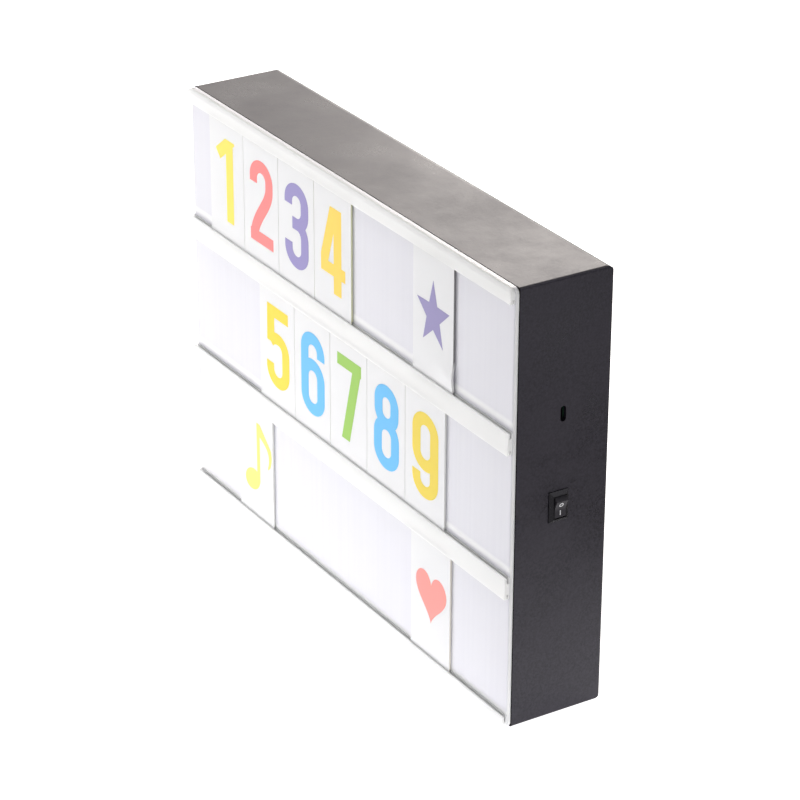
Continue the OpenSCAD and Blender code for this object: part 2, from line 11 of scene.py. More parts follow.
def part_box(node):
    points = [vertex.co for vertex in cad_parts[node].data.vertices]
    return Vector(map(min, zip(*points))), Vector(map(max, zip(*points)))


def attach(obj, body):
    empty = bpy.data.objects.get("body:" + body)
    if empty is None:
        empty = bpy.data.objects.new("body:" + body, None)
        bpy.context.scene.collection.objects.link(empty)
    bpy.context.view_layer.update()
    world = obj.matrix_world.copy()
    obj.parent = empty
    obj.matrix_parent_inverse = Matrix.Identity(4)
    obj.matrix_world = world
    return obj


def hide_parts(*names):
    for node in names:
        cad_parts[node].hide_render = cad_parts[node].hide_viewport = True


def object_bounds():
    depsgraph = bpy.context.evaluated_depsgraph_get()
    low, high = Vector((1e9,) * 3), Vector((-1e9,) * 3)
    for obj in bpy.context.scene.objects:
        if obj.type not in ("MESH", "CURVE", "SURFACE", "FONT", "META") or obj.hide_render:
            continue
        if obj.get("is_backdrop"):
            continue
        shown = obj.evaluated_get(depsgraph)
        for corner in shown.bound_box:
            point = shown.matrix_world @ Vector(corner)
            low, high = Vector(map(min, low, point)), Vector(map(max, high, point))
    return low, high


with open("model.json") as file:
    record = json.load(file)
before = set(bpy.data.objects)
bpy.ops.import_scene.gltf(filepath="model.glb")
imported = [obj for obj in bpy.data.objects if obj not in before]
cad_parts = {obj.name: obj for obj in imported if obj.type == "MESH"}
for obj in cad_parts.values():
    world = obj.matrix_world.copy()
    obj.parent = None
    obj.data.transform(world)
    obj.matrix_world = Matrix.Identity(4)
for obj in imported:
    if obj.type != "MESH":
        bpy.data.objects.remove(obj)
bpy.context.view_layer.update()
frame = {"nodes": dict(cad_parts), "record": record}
nodes = frame["nodes"]
scene = bpy.context.scene
MM = 0.001


# ---------------------------------------------------------------- node materials
class Shader:
    """A Principled material with a few helpers for procedural detail in object coordinates."""

    def __init__(self, name, **sockets):
        self.mat = bpy.data.materials.new(name)
        self.mat.use_nodes = True
        self.nt = self.mat.node_tree
        self.nt.nodes.clear()
        self.out = self.add("ShaderNodeOutputMaterial")
        self.bsdf = self.add("ShaderNodeBsdfPrincipled")
        self.nt.links.new(self.bsdf.outputs[0], self.out.inputs[0])
        self.coord = self.add("ShaderNodeTexCoord")
        self.bumps = []
        for key, value in sockets.items():
            self.bsdf.inputs[key.replace("_", " ")].default_value = value

    def add(self, kind, **props):
        n = self.nt.nodes.new(kind)
        for key, value in props.items():
            setattr(n, key, value)
        return n

    def link(self, a, b):
        self.nt.links.new(a, b)

    def mapped(self, scale=(1, 1, 1), rotation=(0, 0, 0), offset=(0, 0, 0)):
        m = self.add("ShaderNodeMapping")
        m.inputs["Scale"].default_value = scale
        m.inputs["Rotation"].default_value = rotation
        m.inputs["Location"].default_value = offset
        self.link(self.coord.outputs["Object"], m.inputs["Vector"])
        return m.outputs[0]

    def noise(self, scale, detail=2.0, rough=0.5, stretch=(1, 1, 1), offset=(0, 0, 0), distort=0.0):
        n = self.add("ShaderNodeTexNoise")
        n.inputs["Scale"].default_value = scale
        n.inputs["Detail"].default_value = detail
        n.inputs["Roughness"].default_value = rough
        n.inputs["Distortion"].default_value = distort
        self.link(self.mapped(stretch, offset=offset), n.inputs["Vector"])
        return n.outputs[0]

    def remap(self, value, a, b, c, d):
        n = self.add("ShaderNodeMapRange")
        for i, x in enumerate((a, b, c, d)):
            n.inputs[i + 1].default_value = x
        self.link(value, n.inputs[0])
        return n.outputs[0]

    def math(self, op, a, b=None, c=None):
        n = self.add("ShaderNodeMath", operation=op)
        for i, x in enumerate((a, b, c)):
            if x is None:
                continue
            if isinstance(x, (int, float)):
                n.inputs[i].default_value = x
            else:
                self.link(x, n.inputs[i])
        return n.outputs[0]

    def mix(self, factor, a, b):
        n = self.add("ShaderNodeMix", data_type="RGBA")
        if isinstance(factor, (int, float)):
            n.inputs[0].default_value = factor
        else:
            self.link(factor, n.inputs[0])
        for i, x in ((6, a), (7, b)):
            if isinstance(x, tuple):
                n.inputs[i].default_value = (*x, 1.0) if len(x) == 3 else x
            else:
                self.link(x, n.inputs[i])
        return n.outputs[2]

    def xyz(self):
        n = self.add("ShaderNodeSeparateXYZ")
        self.link(self.coord.outputs["Object"], n.inputs[0])
        return n.outputs

    def normal_xyz(self):
        g = self.add("ShaderNodeNewGeometry")
        n = self.add("ShaderNodeSeparateXYZ")
        self.link(g.outputs["Normal"], n.inputs[0])
        return n.outputs

    def edge(self, radius, low=0.02, high=0.35):
        """0 on flats, 1 on an edge of about this radius, where it would be rubbed and catch a highlight."""
        b = self.add("ShaderNodeBevel", samples=4)
        b.inputs["Radius"].default_value = radius
        g = self.add("ShaderNodeNewGeometry")
        d = self.add("ShaderNodeVectorMath", operation="DOT_PRODUCT")
        self.link(b.outputs[0], d.inputs[0])
        self.link(g.outputs["Normal"], d.inputs[1])
        return self.remap(self.math("SUBTRACT", 1.0, d.outputs["Value"]), low, high, 0.0, 1.0)

    def bump(self, height, strength, distance):
        n = self.add("ShaderNodeBump")
        n.inputs["Strength"].default_value = strength
        n.inputs["Distance"].default_value = distance
        self.link(height, n.inputs["Height"])
        if self.bumps:
            self.link(self.bumps[-1].outputs[0], n.inputs["Normal"])
        self.bumps.append(n)
        self.link(n.outputs[0], self.bsdf.inputs["Normal"])

    def colour(self, value):
        self.link(value, self.bsdf.inputs["Base Color"])

    def roughness(self, value):
        self.link(value, self.bsdf.inputs["Roughness"])


def moulded(name, base, other, rough, spread=0.06, grain=0.35, grain_mm=0.7, grain_depth=0.02, edge=None, edge_mm=0.5, **sockets):
    """Moulded plastic: cloudy tone, fine spark-eroded grain, uneven gloss, and a lighter tone along the edges, partly
    rub wear and partly a painted highlight.
    """
    s = Shader(name, **sockets)
    clouds = s.noise(18.0, 3.0, 0.55)
    fine = s.noise(1000.0 / grain_mm, 2.0, 0.6)
    tone = s.remap(clouds, 0.3, 0.7, 0.0, 1.0)
    colour = s.mix(tone, base, other)
    speck = s.remap(fine, 0.35, 0.75, 0.0, 0.5)
    colour = s.mix(s.math("MULTIPLY", speck, 0.5), colour, tuple(min(1.0, c * 1.35) for c in other))
    # lighter along the edges: partly rub wear, partly a painted edge highlight
    if edge:
        colour = s.mix(s.math("MULTIPLY", s.edge(edge_mm * MM), 0.6), colour, edge)
    s.colour(colour)
    s.roughness(s.math("ADD", s.remap(clouds, 0.3, 0.7, rough - spread / 2, rough + spread / 2), s.remap(fine, 0.3, 0.7, -0.03, 0.03)))
    s.bump(fine, grain, grain_depth * MM)
    return s


def metal(name, base, rough, brush_mm=0.25, stretch=(1, 1, 12)):
    s = Shader(name, Metallic=1.0)
    brushed = s.noise(1000.0 / brush_mm, 3.0, 0.6, stretch=stretch)
    stain = s.noise(90.0, 3.0, 0.6)
    s.colour(s.mix(s.remap(stain, 0.35, 0.7, 0.0, 1.0), base, tuple(c * 0.86 for c in base)))
    s.roughness(s.math("ADD", s.remap(brushed, 0.2, 0.8, rough - 0.07, rough + 0.07), s.remap(stain, 0.3, 0.7, -0.04, 0.05)))
    s.bump(brushed, 0.15, 0.01 * MM)
    return s


def rubber(name, base):
    s = Shader(name)
    mottle = s.noise(700.0, 3.0, 0.6)
    long = s.noise(60.0, 2.0)
    s.colour(s.mix(s.remap(long, 0.3, 0.7, 0.0, 1.0), base, tuple(min(1.0, c * 1.18 + 0.004) for c in base)))
    s.roughness(s.remap(mottle, 0.25, 0.75, 0.42, 0.58))
    s.bump(mottle, 0.12, 0.02 * MM)
    return s


M = {}

# back shell and battery door: near-black moulded plastic with a fine grain
for key in ("shell_black", "door_black"):
    s = Shader(key, Specular_Tint=(0.93, 0.90, 1.0, 1.0), Specular_IOR_Level=0.45)
    cloud = s.noise(38.0, 3.0, 0.6)
    broad = s.noise(11.0, 2.0)
    speck = s.noise(950.0, 2.0, 0.6)
    dots = s.noise(3200.0, 2.0, 0.6)
    tone = s.mix(s.remap(speck, 0.32, 0.68, 0.0, 1.0), (0.0014, 0.0008, 0.0036), (0.0200, 0.0170, 0.0260))
    tone = s.mix(s.math("MULTIPLY", s.remap(cloud, 0.42, 0.66, 0.0, 1.0), 0.45), tone, (0.024, 0.0200, 0.0300))
    # painted shade: the shell's front strip, where the panel's rim begins, is coloured near black and made rough,
    # standing in for the shadow in the gap there
    painted_shadow_gap = s.math("LESS_THAN", s.xyz()[1], -22.5 * MM)
    s.colour(s.mix(painted_shadow_gap, tone, (0.0006, 0.0005, 0.0008)))
    gloss = s.math("ADD", s.math("ADD", s.remap(cloud, 0.3, 0.7, 0.28, 0.38), s.remap(broad, 0.3, 0.7, -0.03, 0.03)), s.remap(speck, 0.3, 0.7, -0.04, 0.04))
    s.roughness(s.math("MAXIMUM", gloss, s.math("MULTIPLY", painted_shadow_gap, 0.9)))
    s.bump(cloud, 0.5, 0.28 * MM)
    s.bump(speck, 0.55, 0.035 * MM)
    s.bump(dots, 0.3, 0.012 * MM)
    M[key] = s

# opal panel: faint upright extrusion lines, slightly violet
s = Shader("opal_panel", IOR=1.49, Subsurface_Weight=0.8, Subsurface_Radius=(1.0, 1.0, 1.0), Subsurface_Scale=0.003)
lines = s.noise(420.0, 2.0, 0.55, stretch=(1, 0.02, 0.012))
broad = s.noise(70.0, 2.0, 0.5, stretch=(1, 0.02, 0.05))
clouds = s.noise(9.0, 2.0)
tint = s.mix(s.remap(lines, 0.3, 0.7, 0.0, 1.0), (0.742, 0.734, 0.800), (0.762, 0.755, 0.818))
tint = s.mix(s.math("MULTIPLY", s.remap(broad, 0.3, 0.7, 0.0, 1.0), 0.5), tint, (0.768, 0.760, 0.822))
x, y, z = s.xyz()
# painted light: paler in a band along the upper side of each rail, where the lips cast their shade, and a painted
# highlight round the rim at the right
for top in (7.0, 82.9, 156.1):
    near = s.math("ABSOLUTE", s.math("SUBTRACT", z, (top + 0.6) * MM))
    tint = s.mix(s.remap(near, 0.6 * MM, 2.2 * MM, 0.9, 0.0), tint, (0.93, 0.925, 0.955))
# painted highlight: the rim's faces that turn to the right are paler
tint = s.mix(s.remap(s.normal_xyz()[0], 0.5, 0.9, 0.0, 1.0), tint, (0.95, 0.945, 0.965))
s.colour(tint)
s.roughness(s.math("ADD", s.remap(clouds, 0.3, 0.7, 0.16, 0.22), s.remap(lines, 0.3, 0.7, -0.02, 0.03)))
s.bump(lines, 0.2, 0.005 * MM)
M["opal_panel"] = s

# rails: milky extrusion, lines run along it
s = Shader("rail_white", IOR=1.49, Subsurface_Weight=0.85, Subsurface_Radius=(1.0, 1.0, 1.0), Subsurface_Scale=0.003)
lines = s.noise(900.0, 2.0, 0.6, stretch=(0.01, 1, 1))
clouds = s.noise(12.0, 3.0)
outer = s.mix(s.remap(clouds, 0.3, 0.7, 0.0, 1.0), (0.890, 0.884, 0.876), (0.900, 0.895, 0.886))
# painted light: the faces inside the channels behind the lips (the lips' backs, flange and web) are paler than the
# lips, to lift the shade the lips cast there
s.colour(s.mix(s.math("GREATER_THAN", s.xyz()[1], -26.7 * MM), outer, (0.955, 0.955, 0.955)))
s.roughness(s.math("ADD", s.remap(clouds, 0.3, 0.7, 0.30, 0.36), s.remap(lines, 0.3, 0.7, -0.01, 0.01)))
s.bump(lines, 0.02, 0.004 * MM)
M["rail_white"] = s


def film(name, cut=(0.84, 0.85, 0.82), painted_dark_above=None):
    """Milky film with a faint haze and light scuffs; its cut edges show darker, and one of them carries a painted dark
    reflection from a height up.
    """
    s = Shader(name, Alpha=0.94, IOR=1.5, Subsurface_Weight=0.5, Subsurface_Radius=(1.0, 1.0, 1.0), Subsurface_Scale=0.002)
    n = s.normal_xyz()
    haze = s.noise(40.0, 3.0)
    face = s.mix(s.remap(haze, 0.3, 0.7, 0.0, 1.0), (0.862, 0.861, 0.884), (0.876, 0.875, 0.896))
    side = s.math("GREATER_THAN", s.math("ABSOLUTE", n[0]), 0.6)
    if painted_dark_above:
        # painted reflection: the cut edge turns dark above this height, standing in for the film's dark inner
        # reflection
        cut = s.mix(s.remap(s.xyz()[2], (painted_dark_above - 4) * MM, painted_dark_above * MM, 0.0, 1.0), cut, (0.26, 0.26, 0.27))
    s.colour(s.mix(side, face, cut))
    scuff = s.noise(220.0, 4.0, 0.7, stretch=(1, 1, 0.25))
    s.roughness(s.math("ADD", s.remap(haze, 0.3, 0.7, 0.10, 0.16), s.remap(scuff, 0.55, 0.8, 0.0, 0.12)))
    s.bump(haze, 0.2, 0.05 * MM)
    return s


M["card_clear"] = film("card_clear")
film_olive = film("card_clear_olive", (0.74, 0.75, 0.52))
film_beige = film("card_clear_beige", (0.84, 0.80, 0.72))
film_painted_dark_edge = film("card_clear_painted_dark_edge", (0.84, 0.84, 0.84), 169.0)


def ink(name, base):
    """Screen-printed ink: slightly uneven cover and gloss."""
    s = Shader(name, IOR=1.45)
    cover = s.noise(120.0, 3.0, 0.5)
    fine = s.noise(1500.0, 2.0)
    s.colour(s.mix(s.remap(cover, 0.3, 0.7, 0.0, 1.0), tuple(c * 0.996 for c in base), tuple(min(1.0, c * 1.002 + 0.001) for c in base)))
    s.roughness(s.math("ADD", s.remap(cover, 0.3, 0.7, 0.42, 0.45), s.remap(fine, 0.3, 0.7, -0.01, 0.01)))
    s.bump(fine, 0.06, 0.006 * MM)
    return s


# inner pieces
M["reflector_white"] = moulded("reflector_white", (0.86, 0.86, 0.84), (0.9, 0.9, 0.88), 0.6, grain=0.1, grain_mm=1.2)
M["led_board"] = moulded("led_board", (0.78, 0.8, 0.77), (0.83, 0.85, 0.82), 0.32, grain=0.06, grain_mm=0.5, grain_depth=0.01)
s = Shader("led_chip", IOR=1.5)
x, y, z = s.xyz()
front = s.math("LESS_THAN", s.normal_xyz()[1], -0.5)
phos = s.noise(2200.0, 3.0, 0.6)
s.colour(s.mix(front, (0.8, 0.8, 0.78), s.mix(s.remap(phos, 0.3, 0.7, 0.0, 1.0), (0.85, 0.62, 0.09), (0.95, 0.74, 0.16))))
s.roughness(s.remap(phos, 0.3, 0.7, 0.25, 0.4))
s.bump(phos, 0.15, 0.02 * MM)
M["led_chip"] = s
M["component_black"] = moulded("component_black", (0.012, 0.012, 0.013), (0.02, 0.02, 0.021), 0.42, grain=0.2, grain_mm=0.3)
M["screw_steel"] = metal("screw_steel", (0.62, 0.63, 0.65), 0.3, 0.2, (1, 1, 1))
M["contact_steel"] = metal("contact_steel", (0.72, 0.73, 0.74), 0.22, 0.3, (1, 1, 8))
M["socket_black"] = metal("socket_black", (0.035, 0.035, 0.038), 0.4, 0.3, (1, 1, 8))
M["holder_black"] = moulded("holder_black", (0.011, 0.011, 0.012), (0.017, 0.017, 0.018), 0.5, grain=0.3, grain_mm=0.6, edge=(0.03, 0.03, 0.031))
s = Shader("cell_jacket", IOR=1.5)
x, y, z = s.xyz()
ends = s.math("GREATER_THAN", s.math("ABSOLUTE", s.normal_xyz()[0]), 0.7)
wrap = s.noise(500.0, 2.0, stretch=(0.1, 1, 1))
s.colour(s.mix(ends, s.mix(s.remap(wrap, 0.3, 0.7, 0.0, 1.0), (0.035, 0.05, 0.075), (0.045, 0.062, 0.09)), (0.62, 0.62, 0.61)))
s.link(ends, s.bsdf.inputs["Metallic"])
s.roughness(s.remap(wrap, 0.3, 0.7, 0.22, 0.34))
s.bump(wrap, 0.1, 0.02 * MM)
M["cell_jacket"] = s
M["board_green"] = moulded("board_green", (0.012, 0.085, 0.035), (0.018, 0.12, 0.05), 0.3, grain=0.08, grain_mm=0.8)
M["wire_red"] = rubber("wire_red", (0.42, 0.025, 0.02))
M["wire_black"] = rubber("wire_black", (0.012, 0.012, 0.013))
M["wire_white"] = rubber("wire_white", (0.74, 0.74, 0.71))
M["switch_black"] = moulded("switch_black", (0.006, 0.006, 0.0065), (0.009, 0.009, 0.0098), 0.30, 0.04, grain=0.08, grain_mm=0.4, grain_depth=0.012, edge=(0.018, 0.018, 0.02), edge_mm=0.25)
bezel = moulded("switch_black_bezel", (0.0012, 0.0010, 0.0016), (0.0022, 0.0019, 0.0028), 0.26, 0.04, grain=0.08, grain_mm=0.4, grain_depth=0.012, Specular_IOR_Level=0.34, Specular_Tint=(0.93, 0.90, 1.0, 1.0))
rocker = moulded("switch_black_rocker", (0.022, 0.020, 0.025), (0.028, 0.026, 0.031), 0.44, 0.05, grain=0.10, grain_mm=0.5, grain_depth=0.014, Specular_IOR_Level=0.26, Specular_Tint=(0.93, 0.90, 1.0, 1.0))
M["plunger_nylon"] = moulded("plunger_nylon", (0.72, 0.69, 0.58), (0.78, 0.75, 0.65), 0.45, grain=0.1, grain_mm=0.4)
M["blade_copper"] = metal("blade_copper", (0.78, 0.45, 0.26), 0.28, 0.2)
M["terminal_brass"] = metal("terminal_brass", (0.78, 0.64, 0.34), 0.26, 0.2)

special = {"card_4": film_olive, "card_heart": film_beige, "card_star": film_painted_dark_edge, "switch_housing": bezel, "switch_rocker": rocker}
for part in frame["record"]["subparts"]:
    o = nodes[part["node"]]
    o.data.materials.clear()
    o.data.materials.append(special.get(part["node"], M[part["material_slot"]]).mat)


# ---------------------------------------------------------------- mesh code
def mesh_object(name, verts, faces, mat, smooth=False):
    me = bpy.data.meshes.new(name)
    me.from_pydata([tuple(v) for v in verts], [], faces)
    me.validate()
    me.update()
    if smooth:
        me.shade_smooth()
    o = bpy.data.objects.new(name, me)
    scene.collection.objects.link(o)
    o.data.materials.append(mat)
    return o


def stroke_sdf(X, Z, path, w, closed=False):
    """Signed distance to a stroke of half width w along a polyline, with flat ends."""
    p = np.array(path + ([path[0]] if closed else []), float)
    a, b = p[:-1], p[1:]
    d = b - a
    length = np.hypot(d[:, 0], d[:, 1])
    u = d / length[:, None]
    start = np.concatenate([[0.0], np.cumsum(length)[:-1]])
    total = length.sum()
    qx, qz = X[..., None] - a[:, 0], Z[..., None] - a[:, 1]
    t = qx * u[:, 0] + qz * u[:, 1]
    lo, hi = np.zeros(len(length)), length.copy()
    if not closed:
        lo[0], hi[-1] = -1e3, hi[-1] + 1e3
    tc = np.clip(t, lo, hi)
    dist = np.hypot(qx - tc * u[:, 0], qz - tc * u[:, 1])
    if not closed:  # ends count only near them
        over = np.maximum(0 - tc, 0) + np.maximum(tc - length, 0)
        score = np.hypot(dist, over)
    else:
        score = dist
    k = np.argmin(score, axis=-1)
    pick = lambda arr: np.take_along_axis(arr, k[..., None], -1)[..., 0]
    sd = pick(dist) - w
    if not closed:
        along = pick(tc) + start[k]
        sd = np.maximum(sd, np.maximum(-along, along - total))
    return sd


def bezier(p0, p1, p2, p3, n=16):
    t = np.linspace(0, 1, n + 1)[:, None]
    pts = (1 - t) ** 3 * np.array(p0) + 3 * (1 - t) ** 2 * t * np.array(p1) + 3 * (1 - t) * t * t * np.array(p2) + t ** 3 * np.array(p3)
    return [tuple(q) for q in pts]


def arc(cx, cz, rx, rz, a0, a1, n=24):
    return [(cx + rx * math.cos(math.radians(a0 + (a1 - a0) * i / n)), cz + rz * math.sin(math.radians(a0 + (a1 - a0) * i / n))) for i in range(n + 1)]


def outlines(sd_fn, x0, z0, x1, z1, step=0.25):
    """Closed outlines of a signed distance field's zero line, by marching squares."""
    xs = np.arange(x0, x1 + step, step)
    zs = np.arange(z0, z1 + step, step)
    X, Z = np.meshgrid(xs, zs, indexing="ij")
    F = sd_fn(X, Z) + 1e-7
    inside = F < 0
    nxt = {}
    def cut(i, j, k, l):
        a, b = F[i, j], F[k, l]
        t = a / (a - b)
        return (xs[i] + (xs[k] - xs[i]) * t, zs[j] + (zs[l] - zs[j]) * t)
    points = {}
    def edge_point(i, j, k, l):
        key = (min((i, j), (k, l)), max((i, j), (k, l)))
        if key not in points:
            points[key] = cut(*key[0], *key[1])
        return key
    nx, nz = F.shape
    mixed = inside[:-1, :-1].astype(int) + inside[1:, :-1] + inside[1:, 1:] + inside[:-1, 1:]
    for i, j in zip(*np.where((mixed > 0) & (mixed < 4))):
        c = [(i, j), (i + 1, j), (i + 1, j + 1), (i, j + 1)]
        s_ = [bool(inside[q]) for q in c]
        segs = []
        starts = [q for q in range(4) if s_[q] and not s_[(q + 1) % 4]]
        for q in starts:  # leaves the inside across edge q, and comes back at the edge before the run of inside corners
            r = q
            while s_[(r - 1) % 4]:
                r = (r - 1) % 4
                if r == q:
                    break
            e_in = (r - 1) % 4
            segs.append((edge_point(*c[e_in], *c[(e_in + 1) % 4]), edge_point(*c[q], *c[(q + 1) % 4])))
        for a, b in segs:
            nxt[b] = a
    loops = []
    while nxt:
        first = next(iter(nxt))
        loop, k = [], first
        while k in nxt:
            loop.append(points[k])
            k = nxt.pop(k)
        loops.append(loop)
    return loops


def simplify(loop, tol=0.012):
    """Drops points that lie on the line through their neighbours (Douglas-Peucker on a closed loop)."""
    p = np.array(loop)
    n = len(p)
    keep = np.zeros(n, bool)
    i0 = int(np.argmin(p[:, 0]))
    p = np.roll(p, -i0, axis=0)
    far = int(np.argmax(np.hypot(*(p - p[0]).T)))
    q = np.vstack([p, p[0]])
    stack = [(0, far), (far, n)]
    keep[0] = keep[far] = True
    while stack:
        a, b = stack.pop()
        if b - a < 2:
            continue
        d = q[b] - q[a]
        L = max(1e-9, float(np.hypot(*d)))
        off = np.abs((q[a + 1:b, 0] - q[a, 0]) * d[1] - (q[a + 1:b, 1] - q[a, 1]) * d[0]) / L
        m = int(np.argmax(off))
        if off[m] > tol:
            keep[a + 1 + m] = True
            stack += [(a, a + 1 + m), (a + 1 + m, b)]
    return [tuple(v) for v in p[keep]]


def plate(name, loops, place, front, back, mat):
    """A closed thin plate from outlines in mm; place(a, b, h) gives a point's place, h is how proud it stands."""
    flat = [p for l in loops for p in l]
    tris = tessellate_polygon([[Vector((a, b, 0)) for a, b in l] for l in loops])
    n = len(flat)
    verts = [place(a, b, front) for a, b in flat] + [place(a, b, back) for a, b in flat]
    faces = []
    for t in tris:
        a, b, c = (Vector((*flat[i], 0)) for i in t)
        cross = (b - a).cross(c - a).z
        if abs(cross) < 1e-9:
            continue
        t = list(t) if cross > 0 else [t[0], t[2], t[1]]
        faces.append(tuple(t))
        faces.append(tuple(n + i for i in reversed(t)))
    at = 0
    for l in loops:
        for i in range(len(l)):
            a, b = at + i, at + (i + 1) % len(l)
            faces.append((b, a, n + a, n + b))
        at += len(l)
    o = mesh_object(name, verts, faces, mat)
    bm = bmesh.new()
    bm.from_mesh(o.data)
    bmesh.ops.recalc_face_normals(bm, faces=bm.faces)
    bm.to_mesh(o.data)
    bm.free()
    return o


def upright(cx, y, cz):
    """Places a plate on an upright face that looks to -Y; cx, y, cz in metres."""
    return lambda a, b, h: (cx + a * MM, y - h * MM, cz + b * MM)


# ---------------------------------------------------------------- the printed figures
W, TOP = 6.85, 18.95        # skeleton's half width and half height
HALF = 3.15                 # half of a stroke
WIDEN = 1.13                # the uprights are a little heavier than the bars


def stadium(r, z_low, z_high):
    return arc(0, z_high, r, r, 0, 180) + arc(0, z_low, r, r, 180, 360)


hook_top = lambda z0: [(-W, z0)] + arc(0, TOP - W, W, W, 180, 0)
DIGITS = {
    "1": [([(2.2, -23), (2.2, 23)], False), ([(5.0, 23.6), (-8.2, 12.2)], False)],
    "2": [(hook_top(9.2) + bezier((W, 9.0), (W, 0.5), (-5.6, -8.0), (-6.75, -19.5)), False), ([(-10, -TOP), (10, -TOP)], False)],
    "3": [(hook_top(10.0) + [(W, 8.4)] + arc(0.4, 8.2, W - 0.4, 7.0, 0, -90)[1:] + [(-3.6, 1.2)], False),
          ([(-3.6, 1.2)] + arc(0.4, -5.8, W - 0.4, 7.0, 90, 0) + arc(0, -TOP + W, W, W, 0, -180)[0:] + [(-W, -9.6)], False)],
    "4": [([(3.7, -23), (3.7, 23)], False), ([(1.6, 24.5), (-8.4, -10.6)], False), ([(-10, -10.0), (10, -10.0)], False)],
    "5": [([(-9.0, TOP), (9.2, TOP)], False), ([(-6.0, 23), (-6.3, 1.6)], False),
          (bezier((-6.6, 1.9), (-4.4, 4.6), (-2.4, 5.0), (0.2, 5.0)) + arc(0.2, -1.7, W - 0.2, 6.7, 90, 0)[1:] + arc(0, -TOP + W, W, W, 0, -180) + [(-W, -9.6)], False)],
    "6": [(stadium(W, -TOP + W, -1.9), True), ([(-W, -10)] + hook_top(8.0)[1:] + [(W, 9.8)], False)],
    "7": [([(-9.6, TOP), (10, TOP)], False), ([(7.9, 24), (-3.2, -24)], False)],
    "8": [(stadium(6.35, 8.3, TOP - 6.35), True), (stadium(W, -TOP + W, -4.9), True)],
}
DIGITS["9"] = [([(-x, -z) for x, z in path], closed) for path, closed in DIGITS["6"]]


def digit_sdf(d):
    def sd(X, Z):
        x = X / WIDEN
        f = np.full(X.shape, 1e3)
        for path, closed in DIGITS[d]:
            s_ = stroke_sdf(x, Z, path, HALF, closed)
            if d == "4" and path[0][0] == 1.6:
                s_ = np.maximum(s_, np.maximum(-13.1 - Z, x - 5.0))
            if d == "7" and path[0][0] == 7.9:
                s_ = np.maximum(s_, x - 10)
            f = np.minimum(f, s_)
        return np.maximum(f, np.maximum(np.abs(x) - 10, np.abs(Z) - 22.1))
    return sd


def star_loop(rx=14.4, rz=17.4, inner=0.40):
    out = []
    for i in range(10):
        r = 1.0 if i % 2 == 0 else inner
        a = math.radians(90 + 36 * i)
        out.append((rx * r * math.cos(a), rz * r * math.sin(a)))
    return [out]


def heart_loop(w=26.8, h=26.6):
    t = np.linspace(0, 2 * math.pi, 120, endpoint=False)
    x = 16 * np.sin(t) ** 3
    z = 13 * np.cos(t) - 5 * np.cos(2 * t) - 2 * np.cos(3 * t) - np.cos(4 * t)
    z = (z - (z.max() + z.min()) / 2) * h / (z.max() - z.min())
    return [[(a * w / 32, b) for a, b in zip(x, z)]]


def note_sdf(X, Z):
    # head, upright and flag of a plain eighth note, about the card's own centre
    c, s_ = math.cos(math.radians(24)), math.sin(math.radians(24))
    hx, hz = X + 5.9, Z + 11.2
    u, v = hx * c + hz * s_, -hx * s_ + hz * c
    head = (np.hypot(u / 7.9, v / 5.9) - 1) * 5.9
    upright = stroke_sdf(X, Z, [(0.35, -10.5), (0.35, 23.0)], 1.55)
    flag = np.full(X.shape, 1e3)
    curve = bezier((0.6, 21.5), (3.2, 17.0), (12.6, 16.0), (12.6, 7.5), 40) + bezier((12.6, 7.5), (12.6, 4.5), (11.6, 2.6), (10.6, 1.2), 10)[1:]
    n = len(curve) - 1
    for i, (px, pz) in enumerate(curve):
        t = i / n
        flag = np.minimum(flag, np.hypot(X - px, Z - pz) - (3.1 * (1 - t) ** 0.8 + 0.55))
    flag = np.maximum(flag, np.maximum(-1.2 - X, Z - 23.0 + np.maximum(X - 1.9, 0) * 0.9))
    return np.minimum(np.minimum(head, upright), flag)


def srgb(r, g, b):
    f = lambda c: c / 12.92 if c <= 0.04045 else ((c + 0.055) / 1.055) ** 2.4
    return tuple(f(v / 255) for v in (r, g, b))


INKS = {
    "ink_yellow": srgb(252, 228, 84), "ink_gold": srgb(252, 214, 76), "ink_coral": srgb(250, 130, 128), "ink_violet": srgb(146, 136, 194),
    "ink_star": srgb(148, 139, 189), "ink_sun": srgb(250, 216, 30), "ink_blue": srgb(92, 188, 244), "ink_green": srgb(150, 200, 72),
    "ink_ochre": srgb(240, 212, 52), "ink_lemon": srgb(252, 228, 112), "ink_heart": srgb(252, 147, 139)}
inks = {k: ink(k, v).mat for k, v in INKS.items()}
FIGURES = [("card_1", "1", "ink_yellow"), ("card_2", "2", "ink_coral"), ("card_3", "3", "ink_violet"), ("card_4", "4", "ink_gold"),
           ("card_5", "5", "ink_sun"), ("card_6", "6", "ink_blue"), ("card_7", "7", "ink_green"), ("card_8", "8", "ink_blue"), ("card_9", "9", "ink_ochre"),
           ("card_star", "star", "ink_star"), ("card_note", "note", "ink_lemon"), ("card_heart", "heart", "ink_heart")]
for card, figure, colour in FIGURES:
    lo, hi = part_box(card)
    cx, cz = (lo.x + hi.x) / 2, (lo.z + hi.z) / 2
    if figure in DIGITS:
        loops = [simplify(l) for l in outlines(digit_sdf(figure), -12.4, -23.4, 12.6, 23.4)]
        cx, cz = cx + 0.6 * MM, cz + 0.9 * MM
    elif figure == "star":
        loops, cz = star_loop(), cz + 1.4 * MM
    elif figure == "heart":
        loops, cz, cx = heart_loop(), cz + 0.5 * MM, cx + 0.8 * MM
    else:
        loops = [simplify(l) for l in outlines(note_sdf, -15.4, -18.4, 16.6, 24.4)]
        cx, cz = cx + 1.9 * MM, cz + 0.2 * MM
    p = plate(f"print_{figure}", loops, upright(cx, lo.y, cz), 0.05, -0.02, inks[colour])
    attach(p, card + "_body")


